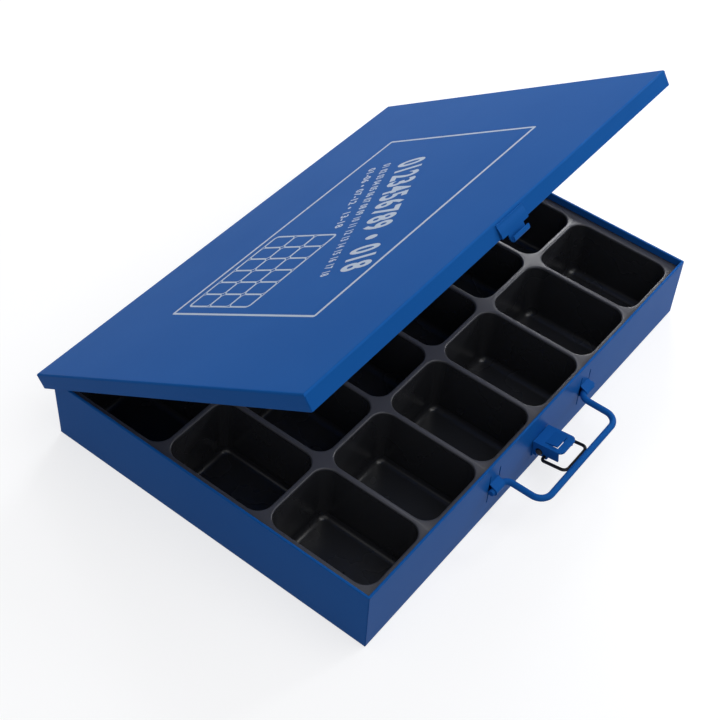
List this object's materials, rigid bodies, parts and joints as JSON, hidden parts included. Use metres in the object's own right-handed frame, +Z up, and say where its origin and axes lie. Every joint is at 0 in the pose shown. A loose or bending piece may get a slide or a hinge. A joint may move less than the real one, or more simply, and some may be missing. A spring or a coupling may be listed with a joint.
{
  "type": "compartment organizer box",
  "caption": "Flat painted-steel case with a hinged lid, a toggle latch, a folding wire handle and a formed plastic insert with a grid of pockets for small parts.",
  "frame": {"origin": "centre of the case's flat underside, on the surface that it stands on", "axes": "+Z up, -Y to the front with the handle and latch, +X along the front to the right as seen from the front"},
  "size_m": [0.3304, 0.2688, 0.1713],
  "materials": {
    "case_paint": "glossy blue stoving enamel on sheet steel",
    "lid_paint": "glossy blue stoving enamel on sheet steel",
    "insert_plastic": "black thermoformed polystyrene with a soft gloss",
    "latch_paint": "glossy blue enamel on stamped steel",
    "handle_paint": "glossy blue enamel on steel wire",
    "dark_wire": "dark blue-black enamel on steel wire",
    "hinge_paint": "glossy blue enamel on rolled steel"
  },
  "bodies": {
    "box": {"case_shell": "case_paint", "compartment_insert": "insert_plastic", "latch_bracket": "latch_paint", "bracket_rivets": "latch_paint", "latch_rivet": "dark_wire", "hinge_left_case_leaf": "hinge_paint", "hinge_left_pin": "hinge_paint", "hinge_right_case_leaf": "hinge_paint", "hinge_right_pin": "hinge_paint"},
    "lid": {"lid_shell": "lid_paint", "lid_keeper": "latch_paint", "hinge_left_lid_leaf": "hinge_paint", "hinge_right_lid_leaf": "hinge_paint"},
    "handle": {"carry_handle": "handle_paint"},
    "lever": {"latch_lever": "latch_paint"},
    "bail": {"latch_bail": "dark_wire"}
  },
  "joints": [
    {"name": "lid_hinge", "type": "hinge", "parent": "box", "child": "lid", "pos_m": [0, 0.1169, 0.0312], "axis": [-1, 0, 0], "range_deg": [-33.2, 146.8]},
    {"name": "handle_swing", "type": "hinge", "parent": "box", "child": "handle", "pos_m": [0, -0.1159, 0.025], "axis": [1, 0, 0], "range_deg": [-75, 61]},
    {"name": "lever_turn", "type": "hinge", "parent": "box", "child": "lever", "pos_m": [0, -0.1189, 0.0214], "axis": [1, 0, 0], "range_deg": [0, 98]},
    {"name": "bail_turn", "type": "hinge", "parent": "lever", "child": "bail", "pos_m": [0, -0.1228, 0.0198], "axis": [1, 0, 0], "range_deg": [-171.33, 0]}
  ],
  "couplings": [
    {"joint": "bail_turn", "follows": "lever_turn", "ratio": -1.7482}
  ]
}
